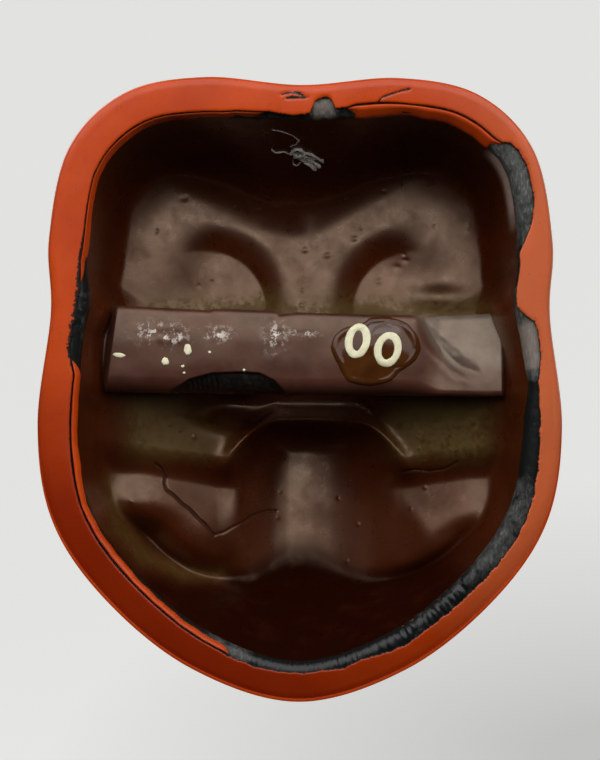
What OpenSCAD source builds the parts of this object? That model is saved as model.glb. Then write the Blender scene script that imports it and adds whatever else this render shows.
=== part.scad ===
// Lacquered miniature noh mask with a cord bar across its hollow back.
// Origin at the middle of the cord bar, +Z up the face, +Y out of the hollow back, face towards -Y.
// Lengths in millimetres.

/* [Mask] */
// Height of the mask from the forehead edge to the chin edge
mask_h = 42; // [38:1:48]
// Greatest width, across the cheeks
mask_w = 35.2; // [32:0.1:40]
// Depth of the domed face from the rim plane, without the nose
face_depth = 14.2; // [14:0.1:16]
// Height of the nose tip above the domed face
nose_rise = 4.2; // [3:0.1:5]

/* [Rim] */
// Width of the red coat on the flat rim
coat_w = 2.05; // [2:0.05:2.2]
// Thickness of the red coat on the flat rim
coat_t = 0.45; // [0.3:0.05:0.6]
// Width of the black ground that stays bare inside the red coat
ground_bare = 0.25; // [0.15:0.05:0.35]
// Width of the black ground that runs under the red coat
ground_under = 0.15; // [0.1:0.05:0.25]
// Depth of the black ground below the rim plane
ground_depth = 1.9; // [1.7:0.1:2]
// Width of the red lip at the edge of the hollow
lip_w = 0.35; // [0.3:0.05:0.5]
// Depth of the red lip below the rim plane
lip_depth = 1.3; // [1:0.1:1.6]
// How far the lip stays below the rim plane
lip_drop = 0.1; // [0:0.05:0.2]

/* [Hollow] */
// Depth of the hollow from the rim plane, without its relief
hollow_depth = 12; // [11.6:0.1:12]
// How far the carving of the hollow lies off the middle, seen from behind
hollow_shift = 0.65; // [-0.8:0.05:0.8]
// Depth of the groove round each eye swelling
groove_depth = 0.5; // [0:0.1:0.6]
// Height of the ridges behind the cheeks
cheek_rise = 1.7; // [1.2:0.1:2]

/* [Cord bar] */
// Height of the bar
bar_h = 5.9; // [5.6:0.1:6.4]
// Thickness of the bar, front to back
bar_t = 2.8; // [2.4:0.1:3]
// How far the bar stays below the rim plane
bar_recess = 2.4; // [2.3:0.1:2.6]
// Width of the side wall left outside each end of the bar, measured at the rim
bar_wall = 1.55; // [1.35:0.05:1.95]
// Length of the bare end of the bar, which sits in the wall beyond the lacquered part
bar_tenon = 0.8; // [0.6:0.1:1]
// Thickness of the lacquer on the bar
bar_coat_t = 0.3; // [0.2:0.05:0.4]
// Radius of the slightly rounded back of the bar
bar_round = 12; // [9:0.5:20]

/* [Varnish pad] */
// Thickness of the clear varnish pad on the bar
varnish_t = 0.25; // [0.2:0.05:0.35]
// Radius of each end of the varnish pad
varnish_r = 2.3; // [1.8:0.1:2.4]
// Distance between the middles of the pad's two ends
varnish_spread = 1.6; // [1:0.1:3]
// Distance of the pad's middle from the middle of the bar
varnish_x = -5.1; // [-8:0.1:8]
// Height of the pad's middle above the middle of the bar
varnish_z = 0.15; // [-0.4:0.05:0.4]

/* [Colours] */
// Red lacquer
red = "#b8431f";
// Brown lacquer
brown = "#3a201a";
// Black ground and bare wood
black = "#23211f";
// Clear varnish
amber = "#6b4a2e";

/* [Hidden] */
$fn = 48;
size = mask_h / 42;
wide = mask_w / 35.2;
rim_y = bar_recess + bar_t / 2;
grid_z = -4 * size;
ground_out = coat_w - ground_under;
ground_in = coat_w + ground_bare;
lip_in = ground_in + lip_w;
// Points on each stretch of the outline
steps = 5;
face_rings = 28;
hollow_rings = 28;
// Rings of the joint between shell and lining, as shares of its radius
joint_shares = [0.4, 0.6, 0.72, 0.81, 0.89, 0.95];

// Right half of the rim outline from the dip of the forehead edge to the chin, as [across, up]
half_outline = [
    [0, 17.9], [6.5, 18.4], [11.9, 17.3], [15.6, 13.6], [16.9, 7.5], [16.75, 2.5],
    [17.6, -5], [16.6, -11.4], [13, -16.7], [7.2, -21.3], [0, -23.5]
];
waist = half_outline[5].x * wide;
bar_l = 2 * (waist - bar_wall);
bar_coat_l = bar_l - 2 * bar_tenon;

// Soft forms of the face as [across, up, spread across, spread up, rise]
face_forms = [
    [7.2, 5.8, 4.2, 1.2, 0.7],
    [7, 1.2, 3.8, 2.5, -1.5],
    [7, 0.2, 2.5, 1.3, 1.2],
    [13.2, 5.5, 3, 4, -0.4],
    [9.6, -6.2, 4.4, 3.6, 0.9],
    [2.75, -7.5, 1.25, 1.1, 1.5],
    [0, -13.2, 6.2, 4.2, 1.2],
    [0, -12.5, 3.6, 0.7, 0.55],
    [0, -14, 3.2, 0.8, 0.75],
    [0, -18.9, 4.4, 2.6, 1.4]
];

// Point at the share t of the way from b to c on a smooth curve through a, b, c and d
function curve(a, b, c, d, t) =
    (2 * b + (c - a) * t + (2 * a - 5 * b + 4 * c - d) * t * t + (3 * b - a - 3 * c + d) * t * t * t) / 2;

last = len(half_outline) - 1;
knots = [
    for (k = [0 : 2 * last - 1])
        let (p = half_outline[k <= last ? k : 2 * last - k])
        [(k <= last ? 1 : -1) * p.x * wide, p.y * size]
];
knot_count = len(knots);
outline = [
    for (k = [0 : knot_count - 1], j = [0 : steps - 1])
        curve(knots[(k + knot_count - 1) % knot_count], knots[k], knots[(k + 1) % knot_count],
              knots[(k + 2) % knot_count], j / steps)
];
sides = len(outline);
centre = [0, grid_z];
reach = [for (p = outline) norm(p - centre)];
// Distance along a ray to the centre for each millimetre of width square to the outline
slant = [
    for (i = [0 : sides - 1])
        let (
            along = outline[(i + 1) % sides] - outline[(i + sides - 1) % sides],
            inward = [along.y, -along.x] / norm(along),
            ray = (centre - outline[i]) / reach[i]
        )
        1 / (inward * ray)
];

// Distance from the centre of ray i where it crosses the outline drawn in by the width d
function radius(i, d) = reach[i] - d * slant[i];

function flat_point(i, r) = centre + (outline[i] - centre) * r / reach[i];

// Point at [across, up] and the depth w below the rim plane
function place(p, w) = [p.x, rim_y - w, p.y];

function inset(d) = [for (i = [0 : sides - 1]) flat_point(i, radius(i, d))];

function level_ring(d, w) = [for (p = inset(d)) place(p, w)];

// Share of the full radius for ring k of n, closer together near the edge
function spacing(k, n) = 1 - pow(1 - k / n, 1.35);

function blend(a, b, t) = a + (b - a) * min(1, max(0, t));

function ease(t) = let (u = min(1, max(0, t))) u * u * (3 - 2 * u);

// The smaller of two depths, with the corner between them rounded where they differ by less than the width
function soft_min(a, b, width) =
    let (near = max(0, 1 - abs(a - b) / width))
    min(a, b) - width / 6 * pow(near, 3);

function bell(t) = exp(-t * t);

function bump(p, form) =
    form[4] * bell((abs(p.x) / wide - form[0]) / form[2]) * bell((p.y / size - form[1]) / form[3]);

function forms_at(p, forms) = [for (form = forms) bump(p, form)] * [for (form = forms) 1];

// Ridge of the nose, rising from between the brows to the tip and falling off below it
function nose_at(p) =
    let (
        up = p.y / size,
        along = min(1, max(0, (3 - up) / 9.6)),
        above = up > 3 ? exp(-pow((up - 3) / 2.6, 2)) : 1,
        below = up < -6.6 ? exp(-pow((up + 6.6) / 1.9, 2)) : 1
    )
    blend(0.9, nose_rise, pow(along, 1.3)) * above * below
        * exp(-pow(abs(p.x) / wide / blend(1.9, 2.8, along), 2.1));

function face_depth_at(i, r) =
    let (s = min(1, r / reach[i]), p = flat_point(i, r), fade = 1 - ease((s - 0.72) / 0.25))
    coat_t + (face_depth - coat_t) * sqrt(1 - pow(s, 4.2)) + fade * (forms_at(p, face_forms) + nose_at(p));

// Swelling behind an eye, parted from the bridge of the nose by a groove round its upper inner side
function eye_swelling(a, z) =
    let (
        far = norm([a - 7.3, z - 3.1]),
        turn = atan2(z - 3.1, 7.3 - a),
        window = ease((turn + 40) / 50) * ease((116 - turn) / 45)
    )
    bell(far / 4.4) - groove_depth * window * bell((far - 4.6) / (far < 4.6 ? 0.55 : 0.85));

// Half width of the pit behind the nose, which widens downwards
function pit_edge(w, z) =
    let (side = ease((w + 2) / 4))
    2.9 + 0.7 * side + (4.2 + 0.7 * side) * (1 - exp((z + 4.4) / 4.5));

// Height of the pit behind the nose, as if its walls ran on upwards
function nose_pit(w, z) =
    let (
        floor_rise = 0.24 * max(0, -5.5 - z) - 0.4,
        side = max(0, abs(w - 0.3) - 0.5) / max(0.1, pit_edge(w, z) - 0.5),
        ledge = max(0, z + 7.2) / 2.6
    )
    floor_rise + 4.4 * pow(side, 3) + 3 * pow(ledge, 3);

// Raised roll along the upper edges of the pit
function pit_roll(w, z) =
    0.8 * bell((abs(w) - pit_edge(w, z) - 0.4) / 1.2) * ease((-3.2 - z) / 1.5) * ease((z + 9.5) / 3);

// Ridge behind a cheek, which runs down towards the mouth
function cheek_ridge(a, z) =
    let (
        across = 0.835 * (z + 11) - 0.55 * (a - 9.4),
        along = 0.835 * (a - 9.4) + 0.55 * (z + 11)
    )
    cheek_rise * bell(across / (across > 0 ? 2.6 : 1.9)) * exp(-pow(along / 4.4, 4));

// Slope that rises from the forehead to the bar, with a broad V at its upper edge
function brow_slope(a, z) =
    let (
        above_bar = (z + 1.5 + norm([z - 1.5, 1])) / 2,
        below_v = 6.9 + 0.5 * norm([a, 2.2]) - above_bar
    )
    (0.13 + 0.02 * ease(a / 8)) * (below_v + norm([below_v, 1.7])) + 0.12 * pow(max(0, -below_v), 2)
        + 0.7 * ease((a - 4) / 7) * ease((z - 6) / 6);

// Level ground beside the pit, with a channel behind the bar and a step down to the cheeks
function side_ground(a, z) =
    let (
        channel = (1 - ease((a - 1.9) / 4.2)) * ease((z + 6.5) / 3),
        step = 1.1 * ease((0.15 * (a - 12.5) - 6.2 - z) / 2.4),
        low = 1.2 * ease((-11.6 - z) / 3.4)
    )
    1.5 * (1 - channel) * ease((1 - z) / 4.5) - (step + low) * ease((a - 2.5) / 4);

// Rise of the hollow's carved floor above its deepest level
function hollow_rise(p) =
    let (
        w = -p.x / wide - hollow_shift,
        a = abs(w),
        z = p.y / size,
        bowl = a * a * blend(0.0143, 0.006, ease((z + 2) / 8)),
        hole = 2.4 * bell((w + 4) / 1.9) * bell((z + 3.3) / 1.1),
        around = bowl + brow_slope(a, z) + eye_swelling(a, z) + side_ground(a, z) + cheek_ridge(a, z)
            + pit_roll(w, z) - hole
    )
    soft_min(around, nose_pit(w, z), 1.8);

// Steepness of the wall of the hollow along a ray that points up by the given share
function wall_slope(up) =
    up > 0 ? 4.2 + 7 * up * up * (1 - up * up) - 1.2 * pow(up, 8) : 4.2 - 2.6 * pow(-up, 5);

function hollow_depth_at(i, r) =
    let (
        p = flat_point(i, r),
        up = (outline[i].y - centre.y) / reach[i],
        d = max(0, radius(i, lip_in) - r) / slant[i],
        by_bar = exp(-pow(p.y / size / 3.8, 8)) * exp(-pow(d / 1.6, 4)),
        wall = lip_depth + blend(wall_slope(up), 1.2, by_bar) * d,
        cove = ease((up + 0.2) / 0.4) * bell(d / 2.5),
        rounding = 3 + 1.2 * ease((up + 0.8) / 0.8) + 3 * ease((up - 0.3) / 0.7)
    )
    soft_min(wall, hollow_depth - hollow_rise(p) - cove, rounding);

function face_ring(s) = [
    for (i = [0 : sides - 1])
        let (r = s * reach[i])
        place(flat_point(i, r), face_depth_at(i, r))
];

function hollow_ring(s) = [
    for (i = [0 : sides - 1])
        let (r = s * radius(i, lip_in))
        place(flat_point(i, r), hollow_depth_at(i, r))
];

function joint_depth_at(i, r) = (face_depth_at(i, r) + hollow_depth_at(i, r)) / 2;

// The joint between shell and lining runs midway between the face and the hollow
function joint_ring(s) = [
    for (i = [0 : sides - 1])
        let (r = s * radius(i, ground_in))
        place(flat_point(i, r), joint_depth_at(i, r))
];

// Triangles of a skin over closed rings with a tip at each end, split along the shorter diagonal
function skin_faces(points, rings, n) = [
    for (k = [-1 : rings - 1], i = [0 : n - 1])
        let (
            j = (i + 1) % n,
            a = k < 0 ? 0 : 1 + k * n + i,
            b = k < 0 ? 0 : 1 + k * n + j,
            c = k == rings - 1 ? 1 + rings * n : 1 + (k + 1) * n + i,
            d = k == rings - 1 ? 1 + rings * n : 1 + (k + 1) * n + j
        )
        each k < 0 ? [[a, c, d]]
            : k == rings - 1 ? [[a, c, b]]
            : norm(points[a] - points[d]) < norm(points[b] - points[c]) ? [[a, c, d], [a, d, b]]
            : [[a, c, b], [b, c, d]]
];

module skin(first, rings, final) {
    points = concat([first], [for (ring = rings) each ring], [final]);
    polyhedron(points = points, faces = skin_faces(points, len(rings), sides));
}

joint_tip = place(centre, joint_depth_at(0, 0));

module band(d_outer, d_inner, w_top, w_bottom) {
    translate([0, rim_y - w_top, 0])
        rotate([90, 0, 0])
            linear_extrude(w_bottom - w_top)
                difference() {
                    polygon(inset(d_outer));
                    polygon(inset(d_inner));
                }
}

// Sockets in the side walls: a housing for the lacquered bar and a deeper one for its core
module bar_sockets() {
    cube([bar_l, bar_t - 2 * bar_coat_t, bar_h - 2 * bar_coat_t], center = true);
    cube([bar_coat_l, bar_t, bar_h], center = true);
}

module mask_shell() {
    color(red)
        difference() {
            skin(
                place(centre, face_depth_at(0, 0)),
                concat(
                    [for (k = [1 : face_rings]) face_ring(spacing(k, face_rings))],
                    [level_ring(ground_out, coat_t), level_ring(ground_out, ground_depth),
                     level_ring(ground_in, ground_depth)],
                    [for (k = [len(joint_shares) - 1 : -1 : 0]) joint_ring(joint_shares[k])]
                ),
                joint_tip
            );
            bar_sockets();
        }
}

module rim_coat() {
    color(red)
        band(0, coat_w, 0, coat_t);
}

module ground_layer() {
    color(black)
        band(ground_out, ground_in, coat_t, ground_depth);
}

module inner_lip() {
    color(red)
        band(ground_in, lip_in, lip_drop, lip_depth);
}

module inner_lining() {
    color(brown)
        difference() {
            skin(
                joint_tip,
                concat(
                    [for (share = joint_shares) joint_ring(share)],
                    [level_ring(ground_in, ground_depth), level_ring(ground_in, lip_depth)],
                    [for (k = [hollow_rings : -1 : 1]) hollow_ring(spacing(k, hollow_rings))]
                ),
                place(centre, hollow_depth_at(0, 0))
            );
            bar_sockets();
        }
}

// Block of the bar with a rounded back, drawn in by the margin on all four long sides
module bar_block(length, margin) {
    intersection() {
        cube([length, bar_t - 2 * margin, bar_h - 2 * margin], center = true);
        translate([0, bar_t / 2 - bar_round, 0])
            rotate([0, 90, 0])
                cylinder(h = length + 1, r = bar_round - margin, center = true);
    }
}

module bar_core() {
    color(black)
        bar_block(bar_l, bar_coat_t);
}

module bar_coat() {
    color(brown)
        difference() {
            bar_block(bar_coat_l, 0);
            bar_block(bar_l, bar_coat_t);
        }
}

// Thin pad that follows the rounded back of the bar
module varnish_patch() {
    color(amber)
        intersection() {
            translate([varnish_x, bar_t / 2 - bar_round, 0])
                rotate([0, 90, 0])
                    difference() {
                        cylinder(h = 4 * varnish_r, r = bar_round + varnish_t, center = true);
                        cylinder(h = 4 * varnish_r + 1, r = bar_round, center = true);
                    }
            translate([varnish_x, 0, varnish_z])
                rotate([-90, 0, 0])
                    linear_extrude(bar_t) {
                        square([varnish_spread, 2 * varnish_r], center = true);
                        for (side = [-1, 1])
                            translate([side * varnish_spread / 2, 0])
                                circle(varnish_r);
                    }
        }
}

mask_shell();
rim_coat();
ground_layer();
inner_lip();
inner_lining();
bar_core();
bar_coat();
varnish_patch();
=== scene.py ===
"""Looks of a small lacquered noh mask with a cord bar across its hollow back.

Lengths are in millimetres until a mesh is made. x runs along the bar, z up the face, and depth is
measured from the rim plane towards the face. As seen from behind, u = -x runs to the right, w is u
counted from the middle of the hollow's carving, and clock angles run clockwise from the top of the rim.
A form is a soft round rise: its place across, its place up, half width, half height and rise.
"""

import bpy
import numpy as np
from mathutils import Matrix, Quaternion, Vector


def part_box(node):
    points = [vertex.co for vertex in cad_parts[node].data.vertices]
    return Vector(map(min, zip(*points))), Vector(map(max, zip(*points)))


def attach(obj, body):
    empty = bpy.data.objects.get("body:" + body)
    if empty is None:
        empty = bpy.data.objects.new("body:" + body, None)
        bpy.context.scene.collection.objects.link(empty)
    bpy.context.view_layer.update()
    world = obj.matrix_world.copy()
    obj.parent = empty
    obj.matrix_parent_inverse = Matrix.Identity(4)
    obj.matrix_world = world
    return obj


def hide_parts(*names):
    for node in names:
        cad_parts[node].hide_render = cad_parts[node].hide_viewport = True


MM = 0.001
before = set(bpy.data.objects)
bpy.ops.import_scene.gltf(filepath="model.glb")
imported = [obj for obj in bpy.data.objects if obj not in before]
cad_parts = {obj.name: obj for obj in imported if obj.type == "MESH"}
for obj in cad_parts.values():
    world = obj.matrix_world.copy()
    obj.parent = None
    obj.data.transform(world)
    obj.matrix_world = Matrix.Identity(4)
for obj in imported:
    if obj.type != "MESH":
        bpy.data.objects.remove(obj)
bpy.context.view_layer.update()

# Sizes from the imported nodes
RIM_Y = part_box("rim_coat")[1].y / MM
BAR_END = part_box("bar_core")[1].x / MM
BAR_BACK, BAR_FRONT = (corner.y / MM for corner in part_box("bar_coat"))
PAD_LOW, PAD_HIGH = (np.array(corner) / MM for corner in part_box("varnish_patch"))

# Rim
COAT_THICKNESS = 0.45
LIP_DEPTH = 1.3

# Face and hollow
FACE_DEPTH = 14.2
HOLLOW_DEPTH = 12
HOLLOW_SHIFT = 0.65
CENTRE = np.array([0, -4])
HALF_OUTLINE = [
    (0, 17.9), (6.5, 18.4), (11.9, 17.3), (15.6, 13.6), (16.9, 7.5), (16.75, 2.5),
    (17.6, -5), (16.6, -11.4), (13, -16.7), (7.2, -21.3), (0, -23.5),
]
SPAN_STEPS = 200

# Tables round the rim, up to GROUND_RIBS, have rows of (clock angle, value)

# Width of rim that keeps its red coat
COAT_EDGE = [
    (0, 2.05), (1.7, 1.95), (2.5, 1.2), (3.6, 0.98), (4.8, 1), (5.6, 1.25), (6.4, 1.75), (8.2, 1.8),
    (10, 1.65), (20, 1.75), (35, 1.75), (36.5, 1.6), (38, 1.1), (42, 0.9), (47, 0.95), (50, 1.2),
    (52.5, 1.9), (54, 2.38), (60, 2.36), (64, 2.2), (66.5, 1.7), (69, 1.05), (72, 0.95), (76, 0.92),
    (80, 1.2), (83, 1.42), (91, 1.54), (104, 1.5), (110, 1.45), (118, 1.4), (128, 1.45), (135, 1.5),
    (145, 1.55), (150, 1.6), (156, 1.5), (160, 1.7), (166, 1.95), (170, 1.8), (175, 2), (182, 2),
    (192, 1.9), (197, 1.95), (200, 2), (215, 2.1), (230, 2.1), (250, 2.2), (270, 2.2), (279, 2.1),
    (282, 1.8), (284, 1.6), (287, 1.57), (291, 1.65), (297, 1.85), (303, 2.25), (308, 2.35), (320, 2.4),
    (335, 2.35), (345, 2.38), (348, 2.2), (354, 2), (358, 2.12), (360, 2.05),
]

# Share to which the edge of that coat is broken
COAT_BROKEN = [
    (8.5, 1), (9.5, 0), (35.5, 0), (36.5, 1), (52, 1), (53, 0), (66, 0), (67, 1), (196, 1),
    (200, 0), (281, 0), (282, 1), (298, 1), (302, 0), (353, 0), (356, 1),
]

# How far the wear of that edge reaches into the coat
COAT_WEAR = [(279, 0.1), (288, 0.5), (300, 0.5), (310, 0.1)]

# Shares of painted shade, which darkens the lower left of the coat, and of painted sheen, which pales
# its right side
COAT_SHADE = [(120, 0), (150, 0.25), (180, 0.7), (250, 0.75), (268, 0.35), (280, 0)]
COAT_SHEEN = [(20, 0), (50, 0.4), (90, 0.5), (125, 0.35), (150, 0)]

# Distance of the edge of the hollow from the outline, and the share to which it is rubbed pale
HOLLOW_EDGE = [
    (0, 2.3), (10, 2.4), (35, 2.45), (38, 2.3), (50, 2.3), (54, 2.45), (60, 2.4), (66, 2.2), (71, 2.05),
    (83, 2), (91, 2.5), (100, 2.65), (270, 2.65), (278, 2.5), (283, 2.35), (290, 2.25), (297, 2.5),
    (305, 2.65), (345, 2.65), (352, 2.4), (360, 2.3),
]
EDGE_PALE = [(35, 0), (37, 1), (46, 0.8), (50, 0)]

# How grey the bare ground is, from 0 to 1
GROUND_GREY = [
    (0, 0.4), (1.7, 0.5), (2.4, 0.95), (6, 0.95), (6.8, 0.4), (35, 0.3), (37, 0.84), (45, 0.8),
    (52, 0.5), (56, 0.3), (66, 0.6), (69, 1), (79, 1), (84, 0.1), (104, 0.05), (108, 0.55), (128, 0.6),
    (134, 0.35), (150, 0.25), (160, 0.1), (186, 0.05), (189, 0.1), (193, 0.6), (199, 0.5), (208, 0),
    (280, 0), (284, 0.25), (297, 0.3), (305, 0), (350, 0.3), (360, 0.5),
]

# Size of the crumbs on the bare ground, and the share to which it is ribbed
GROUND_CRUMBS = [
    (8, 0.07), (12, 0.03), (36, 0.04), (52, 0.03), (60, 0.01), (128, 0.02), (136, 0.13),
    (158, 0.13), (166, 0.06), (188, 0.05), (200, 0.02), (350, 0.02), (360, 0.07),
]
GROUND_RIBS = [(160, 0), (168, 1), (188, 1), (194, 0)]

# Red lip inside the rim: first and last clock angle, gap to the coat, width, depth of its two edges
LIPS = [
    (8.5, 37, 0.05, 0.7, 0.12, 0.7),
    (196, 282.5, 0.07, 0.36, 0.1, 0.3),
    (300, 353, 0.02, 0.3, 0.2, 0.8),
]

# Crack and scratches in the rim, as (u, z) points, and a rubbed place, as a form
RIM_CRACK = [(2.8, 16.1), (4.9, 16.45), (5.4, 17.05), (5.8, 17.2), (6.9, 17.55)]
RIM_SCRATCHES = [
    [(-1.3, 17.2), (-0.6, 17.4), (0.1, 17.15)],
    [(-1, 16.95), (0.4, 17.02)],
    [(6.75, 17.5), (7.2, 17.6)],
]
RIM_RUBBED = (-0.5, 17.15, 0.5, 0.22, 0.42)

# Cracks in the lacquer of the hollow, as (u, z) points and a width
CRACKS = [
    ([(-10, -7.75), (-9.6, -8.1), (-9.3, -8.8), (-9.35, -9.1), (-9.2, -9.6), (-8.7, -9.95),
      (-8.15, -10.55), (-7.6, -10.95), (-7.1, -11.5), (-6.5, -12.05), (-5.95, -12.75)], 0.06),
    ([(-5.95, -12.75), (-5.3, -12.6), (-4.6, -12.2), (-3.9, -11.9), (-3.35, -11.5), (-2.3, -11.2),
      (-1.6, -11.25)], 0.04),
    ([(7.2, -8.25), (8.1, -8.1), (9.1, -8.2), (10.15, -8), (11, -7.45)], 0.05),
]

# Drops in the lacquer of the hollow and a line of dust that is also a painted highlight along the lower
# crease, as (u, z) points, and a form free of dust
LACQUER_DROPS = [
    (1.9, 7), (0.3, 7.4), (3.9, 8.2), (5.5, 5.1), (6.8, 6.1), (7.4, 6.6), (-8.3, 11), (-3, 10.2),
]
DUST_AND_HIGHLIGHT_LINE = [(-13, -9), (-12.4, -12), (-10.6, -14.1), (-8, -15.4), (-5.6, -15.6)]
CLEAN_SPOT = (-4.9, -3.9, 2.9, 1.9, 1)


def clamp(t):
    return np.clip(t, 0, 1)


def smooth(t):
    """A soft step from 0 to 1 while t goes from 0 to 1."""
    t = clamp(t)
    return t * t * (3 - 2 * t)


def soft_min(a, b, width):
    """The smaller of two heights, rounded where they differ by less than the width."""
    near = clamp(1 - np.abs(a - b) / width)
    return np.minimum(a, b) - width / 6 * near**3


def bell(t, power=2):
    return np.exp(-np.abs(t) ** power)


def bump(x, z, form):
    across, up, half_width, half_height, rise = form
    return rise * np.exp(-((x - across) / half_width) ** 2 - ((z - up) / half_height) ** 2)


def read_off(table, at, period=None):
    """Values at these places of a table of (place, value) rows."""
    return np.interp(at, *np.array(table).T, period=period)


def full_turn(count):
    return np.linspace(0, 2 * np.pi, count, endpoint=False)


def ring_shares(count, crowding):
    """Shares of the way from the middle to the edge, closer together towards the edge."""
    return 1 - (1 - np.arange(1, count + 1) / count) ** crowding


def ripple(x, z, size, seed):
    """Smooth random waves of about this length, between about -1 and 1."""
    waves, loudest = 9, 4
    rng = np.random.default_rng(seed)
    total = 0
    for _ in range(waves):
        turn = rng.uniform(0, 2 * np.pi)
        pitch = 2 * np.pi / (size * rng.uniform(0.7, 1.5))
        start = rng.uniform(0, 2 * np.pi)
        total = total + np.sin(pitch * (x * np.cos(turn) + z * np.sin(turn)) + start)
    return total / loudest


def unit(rows):
    return rows / np.linalg.norm(rows, axis=1)[:, None]


def join(*groups):
    """One list of points from groups of rows of points."""
    return np.vstack([np.reshape(group, (-1, 3)) for group in groups])


def near_path(x, z, path):
    """Distance of each point from a line through the path's points."""
    best = np.full(np.shape(x), np.inf)
    for (x0, z0), (x1, z1) in zip(path, path[1:]):
        dx, dz = x1 - x0, z1 - z0
        t = clamp(((x - x0) * dx + (z - z0) * dz) / (dx * dx + dz * dz))
        best = np.minimum(best, np.hypot(x - x0 - t * dx, z - z0 - t * dz))
    return best


def stroke(x, z, path, width):
    """Share of a soft line of this width that follows the path."""
    return bell(near_path(x, z, path) / width)


class Rays:
    """Rays from the middle of the mask to its rim, evenly spaced along the rim outline."""

    def __init__(self, count):
        half = np.array(HALF_OUTLINE, float)
        knots = np.vstack([half, (half * (-1, 1))[-2:0:-1]])
        t = np.linspace(0, 1, SPAN_STEPS, endpoint=False)[:, None]
        spans = []
        for k in range(len(knots)):
            a, b, c, d = (knots[(k + j) % len(knots)] for j in (-1, 0, 1, 2))
            spans.append((2 * b + (c - a) * t + (2 * a - 5 * b + 4 * c - d) * t**2
                          + (3 * b - a - 3 * c + d) * t**3) / 2)
        line = np.vstack(spans + [knots[:1]])
        along = np.concatenate([[0], np.cumsum(np.linalg.norm(np.diff(line, axis=0), axis=1))])
        self.count = count
        self.along = np.linspace(0, along[-1], count, endpoint=False)
        self.rim = np.stack([np.interp(self.along, along, line[:, i]) for i in (0, 1)], 1)
        self.reach = np.linalg.norm(self.rim - CENTRE, axis=1)
        self.way = (self.rim - CENTRE) / self.reach[:, None]
        tangent = unit(np.roll(self.rim, -1, 0) - np.roll(self.rim, 1, 0))
        outward = np.stack([-tangent[:, 1], tangent[:, 0]], 1)
        self.slant = 1 / (outward * self.way).sum(1)
        self.clock = np.degrees(np.arctan2(-self.way[:, 0], self.way[:, 1])) % 360
        self.hollow_edge = self.read(HOLLOW_EDGE)

    def radius(self, inset):
        return self.reach - inset * self.slant

    def inset(self, radius):
        return (self.reach - radius) / self.slant

    def flat(self, radius):
        place = CENTRE + self.way[None] * radius[..., None]
        return place[..., 0], place[..., 1]

    def points(self, radius, depth):
        """Points at these distances from the middle, one row of radii for each ring."""
        radius, depth = np.broadcast_arrays(np.atleast_2d(radius), np.atleast_2d(depth))
        x, z = self.flat(radius)
        return np.stack([x, RIM_Y - depth, z], -1)

    def read(self, table):
        return read_off(table, self.clock)

    def ring(self, inset, depth):
        return self.points(self.radius(inset), depth)[0]

    def waves(self, size, seed, row=0):
        """Random waves along the rim."""
        return ripple(self.along, 0 * self.along + row, size, seed)


# Face

FACE_FORMS = [
    (9.6, -6.2, 4.4, 3.6, 0.9),  # cheek
    (7, 1.2, 3.8, 2.5, -1.5),  # eye socket
    (0, -13.2, 6.2, 4.2, 1.2),  # mouth
    (0, -18.9, 4.4, 2.6, 1.4),  # chin
    (0, -16.2, 3.2, 0.9, -0.4),  # hollow under the lip
    (13.2, 5.5, 3, 4, -0.4),  # temple
    (2.75, -7.5, 1.25, 1.1, 1.5),  # wing of the nose
    (1.45, -8.75, 0.55, 0.4, -0.9),  # nostril
    (5.9, -13, 0.8, 0.7, -0.35),  # corner of the mouth
    (0.9, -10.5, 0.45, 0.9, 0.12),  # ridge above the lip
    (0, -10.5, 0.5, 1, -0.2),  # groove above the lip
]
NOSE_TOP = 3
NOSE_TIP = -6.6
NOSE_RISE = 4.2
BRIDGE_RISE = 0.9
EYE_X = 7
EYE_Z = 0.2
EYE_HALF_WIDTH = 3.4
EYE_HALF_HEIGHT = 1.75
BROW_X = 7.2
BROW_Z = 5
BROW_HALF_WIDTH = 5.2
MOUTH_Z = -13.2
MOUTH_HALF_WIDTH = 5.3
UPPER_LIP = 1.45
LOWER_LIP = 1.75


def nose(x, z):
    along = clamp((NOSE_TOP - z) / (NOSE_TOP - NOSE_TIP))
    above = np.where(z > NOSE_TOP, bell((z - NOSE_TOP) / 2.6), 1)
    below = np.where(z < NOSE_TIP, bell((z - NOSE_TIP) / 1.5), 1)
    rise = BRIDGE_RISE + (NOSE_RISE - BRIDGE_RISE) * along**1.3
    half_width = 1.9 + 0.9 * along
    return rise * above * below * bell(x / half_width, 2.1)


def eyes(x, z):
    u = (np.abs(x) - EYE_X) / EYE_HALF_WIDTH
    inside = clamp(1 - u * u)
    ball = 1.25 * clamp(1 - u * u - ((z - EYE_Z) / EYE_HALF_HEIGHT) ** 2) ** 0.75
    slit = -0.1 - 0.55 * inside + 0.12 * u
    crease = slit + 0.35 + 1.25 * inside**0.6
    lid = 0.22 * smooth((z - slit + 0.1) / 0.3) * smooth((crease - z) / 0.5)
    groove = 0.35 * bell((z - slit) / 0.16) + 0.2 * bell((z - crease) / 0.22)
    lower = 0.12 * bell((z - slit + 0.6) / 0.35)
    return ball + (lid + lower - groove) * np.sqrt(inside)


def brows(x, z):
    a = np.abs(x)
    arch = BROW_Z + 1 - ((a - BROW_X) / BROW_HALF_WIDTH) ** 2
    span = smooth((a - 1.8) / 2.5) * smooth((13 - a) / 4)
    return 0.7 * span * bell((z - arch) / 1.2)


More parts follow.
